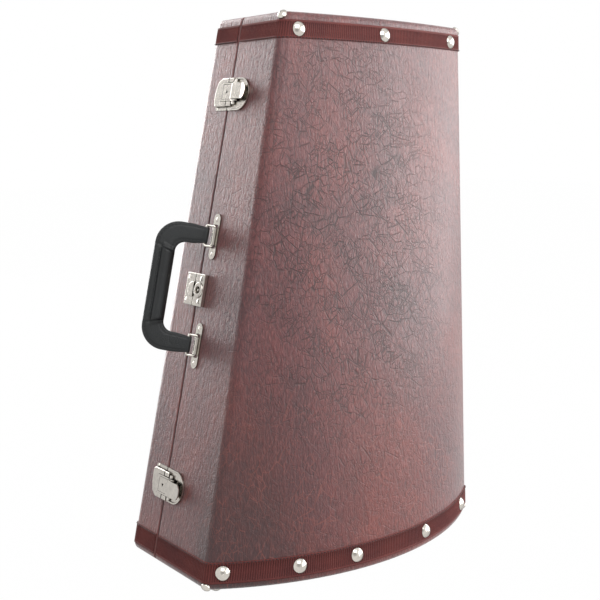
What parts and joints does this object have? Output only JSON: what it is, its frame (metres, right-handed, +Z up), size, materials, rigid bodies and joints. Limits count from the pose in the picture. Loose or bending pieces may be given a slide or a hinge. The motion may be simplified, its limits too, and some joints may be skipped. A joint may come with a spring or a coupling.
{
  "type": "bass trumpet case",
  "caption": "Tapered hard case for a bass trumpet, bowed deep half and thin hinged lid, lever latches, key lock and side carrying handle, stood on its wide end",
  "frame": {"origin": "centre of the bounding box's underside, at the level of the feet that the case stands on", "axes": "+Z up along the case as it stands on its wide end, +X towards the hinge side, -X towards the slanted side with latches and handle, -Y towards the bowed deep half, +Y towards the thin lid"},
  "size_m": [0.428, 0.2248, 0.6242],
  "materials": {
    "cover": "grained red-brown covering, satin",
    "webbing": "ribbed woven band, matt",
    "nickel": "bright nickel plate",
    "black_leather": "smooth black leather with stitching",
    "plush": "short dark pile",
    "ply": "stained plywood edge"
  },
  "bodies": {
    "base": {"base_shell": "cover", "seam_tongue": "ply", "base_lining": "plush", "bell_saddle": "plush", "valve_saddle": "plush", "neck_saddle": "plush", "base_band_bottom": "webbing", "base_band_top": "webbing", "face_studs_bottom": "nickel", "face_studs_top": "nickel", "corner_studs": "nickel", "rest_feet": "nickel", "lower_hinge_base_leaf": "nickel", "upper_hinge_base_leaf": "nickel", "lower_hinge_pin": "nickel", "upper_hinge_pin": "nickel", "hinge_rivets_base": "nickel", "upper_latch_base": "nickel", "lower_latch_base": "nickel", "upper_latch_pivots": "nickel", "lower_latch_pivots": "nickel", "lock_case": "nickel", "lock_rivets_base": "nickel", "upper_handle_plate": "nickel", "lower_handle_plate": "nickel", "handle_plate_rivets": "nickel"},
    "lid": {"lid_shell": "cover", "lid_lining": "plush", "lid_pad": "plush", "lid_band_bottom": "webbing", "lid_band_top": "webbing", "lower_hinge_lid_leaf": "nickel", "upper_hinge_lid_leaf": "nickel", "hinge_rivets_lid": "nickel", "upper_latch_strike": "nickel", "lower_latch_strike": "nickel", "strike_rivets": "nickel", "lock_lid_plate": "nickel", "lock_staple": "nickel", "lock_rivets_lid": "nickel"},
    "upper_lever": {"upper_latch_lever": "nickel", "upper_latch_link_pin": "nickel"},
    "upper_hasp": {"upper_latch_hasp": "nickel"},
    "lower_lever": {"lower_latch_lever": "nickel", "lower_latch_link_pin": "nickel"},
    "lower_hasp": {"lower_latch_hasp": "nickel"},
    "lock_plug": {"lock_cylinder": "nickel"},
    "lock_bar": {"lock_bolt": "nickel"},
    "handle_rings": {"upper_handle_ring": "nickel", "lower_handle_ring": "nickel"},
    "handle": {"handle_grip": "black_leather"}
  },
  "joints": [
    {"name": "lid_swing", "type": "hinge", "parent": "base", "child": "lid", "pos_m": [0.21109, 0.05411, 0.31362], "axis": [0, 0, -1], "range_deg": [0, 110]},
    {"name": "upper_lever_lift", "type": "hinge", "parent": "base", "child": "upper_lever", "pos_m": [-0.10863, 0.03961, 0.53807], "axis": [-0.2028, 0, -0.9792], "range_deg": [0, 100]},
    {"name": "upper_hasp_link", "type": "hinge", "parent": "upper_lever", "child": "upper_hasp", "pos_m": [-0.10794, 0.03431, 0.53793], "axis": [-0.2028, 0, -0.9792], "range_deg": [-115, 0]},
    {"name": "lower_lever_lift", "type": "hinge", "parent": "base", "child": "lower_lever", "pos_m": [-0.20079, 0.03961, 0.09312], "axis": [-0.2028, 0, -0.9792], "range_deg": [0, 100]},
    {"name": "lower_hasp_link", "type": "hinge", "parent": "lower_lever", "child": "lower_hasp", "pos_m": [-0.2001, 0.03431, 0.09297], "axis": [-0.2028, 0, -0.9792], "range_deg": [-115, 0]},
    {"name": "key_turn", "type": "hinge", "parent": "base", "child": "lock_plug", "pos_m": [-0.1552, 0.04441, 0.31569], "axis": [-0.9792, 0, 0.2028], "range_deg": [0, 90]},
    {"name": "bolt_throw", "type": "slide", "parent": "base", "child": "lock_bar", "axis": [0.2028, 0, 0.9792], "range_m": [0, 0.005]},
    {"name": "ring_swing", "type": "hinge", "parent": "base", "child": "handle_rings", "pos_m": [-0.15216, 0.03561, 0.31507], "axis": [-0.2028, 0, -0.9792], "range_deg": [-98, 18]},
    {"name": "grip_rock", "type": "hinge", "parent": "handle_rings", "child": "handle", "pos_m": [-0.15929, 0.04172, 0.31654], "axis": [-0.2028, 0, -0.9792], "range_deg": [-20, 20]}
  ],
  "couplings": [
    {"joint": "upper_hasp_link", "follows": "upper_lever_lift", "ratio": -1.15},
    {"joint": "lower_hasp_link", "follows": "lower_lever_lift", "ratio": -1.15},
    {"joint": "key_turn", "follows": "bolt_throw", "rad_per_m": 314.16}
  ]
}
